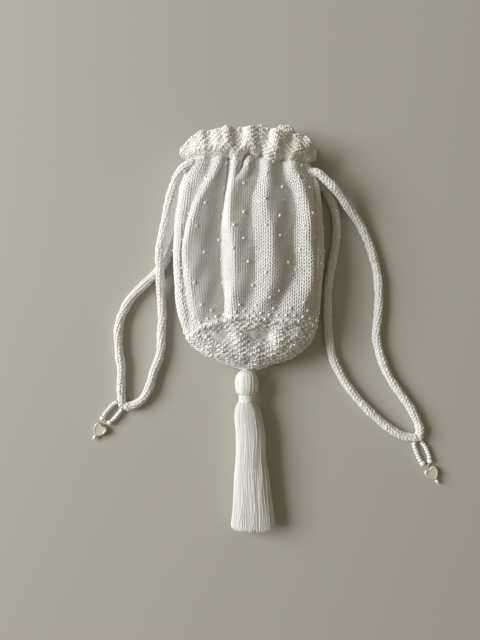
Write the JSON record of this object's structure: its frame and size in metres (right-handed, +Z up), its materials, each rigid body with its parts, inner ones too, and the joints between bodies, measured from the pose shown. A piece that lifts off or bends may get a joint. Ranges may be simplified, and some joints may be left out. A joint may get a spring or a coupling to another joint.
{
  "type": "purse",
  "caption": "Hand-knitted drawstring reticule: pleated stockinette bag with a moss-stitch base, frilled mouth, two cords ending in bead drops, and a long tassel.",
  "frame": {"origin": "on the resting surface, under the middle of the bag and its tassel as they lie", "axes": "+X across the purse, +Y from the tassel to the mouth, +Z up from the surface it lies on"},
  "size_m": [0.2175, 0.2488, 0.0285],
  "materials": {
    "bag_yarn": "matt ivory knitted yarn",
    "cord_yarn": "matt knitted cord",
    "tassel_yarn": "loose yarn strands",
    "thread": "sewing thread",
    "pearl_bead": "pearl lustre",
    "nacre": "polished mother of pearl",
    "wad": "wound yarn wad"
  },
  "bodies": {
    "bag": {"base_moss_stitch": "bag_yarn", "body_stockinette": "bag_yarn"},
    "neck_left": {"neck_eyelet_band_left": "bag_yarn", "ruffle_frill_left": "bag_yarn"},
    "neck_right": {"neck_eyelet_band_right": "bag_yarn", "ruffle_frill_right": "bag_yarn"},
    "drawstring_left": {"drawstring_left_back_leg": "cord_yarn", "drawstring_left_front_leg": "cord_yarn", "drawstring_left_join": "cord_yarn", "drawstring_left_neck_run": "cord_yarn"},
    "drawstring_right": {"drawstring_right_back_leg": "cord_yarn", "drawstring_right_front_leg": "cord_yarn", "drawstring_right_join": "cord_yarn", "drawstring_right_neck_run": "cord_yarn"},
    "bead_drop_left": {"bead_thread_left": "thread", "end_bead_left_a": "pearl_bead", "end_bead_left_b": "pearl_bead", "seed_bead_left_a1": "pearl_bead", "seed_bead_left_a2": "pearl_bead", "seed_bead_left_a3": "pearl_bead", "seed_bead_left_a4": "pearl_bead", "seed_bead_left_a5": "pearl_bead", "seed_bead_left_a6": "pearl_bead", "seed_bead_left_a7": "pearl_bead", "seed_bead_left_a8": "pearl_bead", "seed_bead_left_b1": "pearl_bead", "seed_bead_left_b2": "pearl_bead", "seed_bead_left_b3": "pearl_bead", "seed_bead_left_b4": "pearl_bead", "seed_bead_left_b5": "pearl_bead", "seed_bead_left_b6": "pearl_bead", "seed_bead_left_b7": "pearl_bead", "stop_bead_left": "pearl_bead"},
    "bead_drop_right": {"bead_thread_right": "thread", "end_bead_right_a": "pearl_bead", "end_bead_right_b": "pearl_bead", "seed_bead_right_a1": "pearl_bead", "seed_bead_right_a2": "pearl_bead", "seed_bead_right_a3": "pearl_bead", "seed_bead_right_a4": "pearl_bead", "seed_bead_right_a5": "pearl_bead", "seed_bead_right_a6": "pearl_bead", "seed_bead_right_a7": "pearl_bead", "seed_bead_right_b1": "pearl_bead", "seed_bead_right_b2": "pearl_bead", "seed_bead_right_b3": "pearl_bead", "seed_bead_right_b4": "pearl_bead", "seed_bead_right_b5": "pearl_bead", "seed_bead_right_b6": "pearl_bead", "seed_bead_right_b7": "pearl_bead", "stop_bead_right": "pearl_bead"},
    "heart_left": {"heart_bead_left": "nacre"},
    "heart_right": {"heart_bead_right": "nacre"},
    "tassel_hanger": {"tassel_hanger_knot": "thread"},
    "tassel": {"tassel_hanging_thread": "thread", "tassel_head_yarn": "tassel_yarn", "tassel_head_core": "wad", "tassel_neck_wrap": "tassel_yarn", "tassel_skirt": "tassel_yarn"}
  },
  "joints": [
    {"name": "drawstring_left_slide", "type": "slide", "parent": "bag", "child": "drawstring_left", "axis": [-1, 0, 0], "range_m": [0, 0.015]},
    {"name": "drawstring_right_slide", "type": "slide", "parent": "bag", "child": "drawstring_right", "axis": [1, 0, 0], "range_m": [0, 0.015]},
    {"name": "neck_left_gather", "type": "hinge", "parent": "bag", "child": "neck_left", "pos_m": [-0.042, 0.005, 0.012], "axis": [0, 0, -1], "range_deg": [0, 9.01], "deforming": ["neck_eyelet_band_left", "ruffle_frill_left"]},
    {"name": "neck_right_gather", "type": "hinge", "parent": "bag", "child": "neck_right", "pos_m": [0.042, 0.005, 0.012], "axis": [0, 0, 1], "range_deg": [0, 9.01], "deforming": ["neck_eyelet_band_right", "ruffle_frill_right"]},
    {"name": "bead_drop_left_lift", "type": "hinge", "parent": "drawstring_left", "child": "bead_drop_left", "pos_m": [-0.08065, -0.04805, 0.00175], "axis": [-0.6141, 0.7892, 0], "range_deg": [0, 80]},
    {"name": "bead_drop_right_lift", "type": "hinge", "parent": "drawstring_right", "child": "bead_drop_right", "pos_m": [0.10685, -0.0714, 0.00175], "axis": [-0.9879, -0.155, 0], "range_deg": [0, 80]},
    {"name": "heart_left_spin", "type": "hinge", "parent": "bead_drop_left", "child": "heart_left", "pos_m": [-0.0927, -0.06325, 0.00175], "axis": [-0.5726, -0.8198, 0], "continuous": true},
    {"name": "heart_right_spin", "type": "hinge", "parent": "bead_drop_right", "child": "heart_right", "pos_m": [0.11575, -0.09045, 0.00175], "axis": [0.5289, -0.8487, 0], "continuous": true},
    {"name": "tassel_lift", "type": "hinge", "parent": "bag", "child": "tassel_hanger", "pos_m": [-0.001, -0.0258, 0.0082], "axis": [-1, 0, 0], "range_deg": [0, 50]},
    {"name": "tassel_swing", "type": "hinge", "parent": "tassel_hanger", "child": "tassel", "pos_m": [-0.001, -0.0258, 0.0082], "axis": [0, 0, 1], "range_deg": [-30, 30]}
  ],
  "couplings": [
    {"joint": "drawstring_right_slide", "follows": "drawstring_left_slide", "ratio": 1},
    {"joint": "neck_left_gather", "follows": "drawstring_left_slide", "rad_per_m": 10.472},
    {"joint": "neck_right_gather", "follows": "drawstring_left_slide", "rad_per_m": 10.472}
  ]
}
